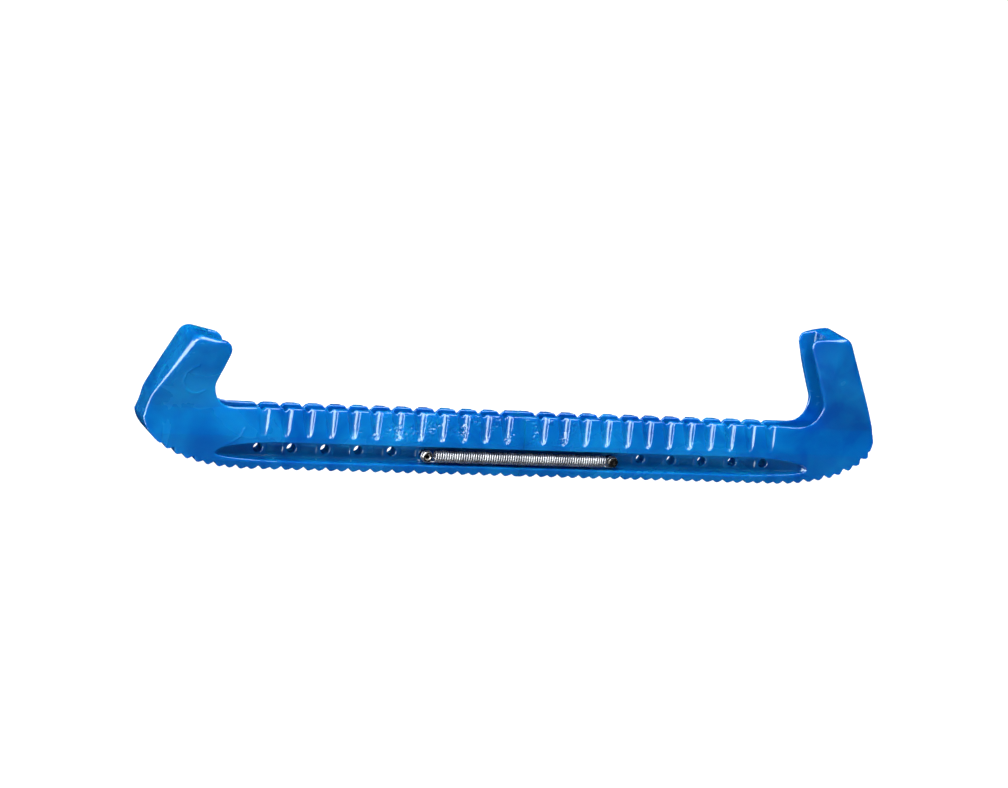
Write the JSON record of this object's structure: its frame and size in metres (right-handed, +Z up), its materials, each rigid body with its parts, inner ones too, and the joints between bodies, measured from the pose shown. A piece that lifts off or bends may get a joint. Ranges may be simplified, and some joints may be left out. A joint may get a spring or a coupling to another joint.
{
  "type": "skate blade guard",
  "caption": "Two-piece hard guard for a skate blade: toothed channel halves with upright end cups, butted at mid length and pulled together by side springs.",
  "frame": {"origin": "centre of the footprint at the tread's lowest line, at mid length where the halves butt", "axes": "+X from the heel cup to the toe cup, +Y across the guard, +Z up out of the blade slot"},
  "size_m": [0.3411, 0.0232, 0.0693],
  "materials": {
    "urethane": "glossy pearly translucent blue moulded urethane",
    "spring_steel": "bright close-wound spring wire",
    "plated_steel": "bright plated steel"
  },
  "bodies": {
    "heel_half": {"heel_guard_half": "urethane", "heel_post_barrel": "plated_steel", "heel_post_screw": "plated_steel", "near_spring": "spring_steel", "far_spring": "spring_steel"},
    "toe_half": {"toe_guard_half": "urethane", "toe_post_barrel": "plated_steel", "toe_post_screw": "plated_steel"}
  },
  "joints": [
    {"name": "halves_pull_apart", "type": "slide", "parent": "heel_half", "child": "toe_half", "axis": [1, 0, 0], "range_m": [0, 0.025], "stiffness_N_per_m": 2900, "springref_m": -0.004, "deforming": ["near_spring", "far_spring"]}
  ]
}
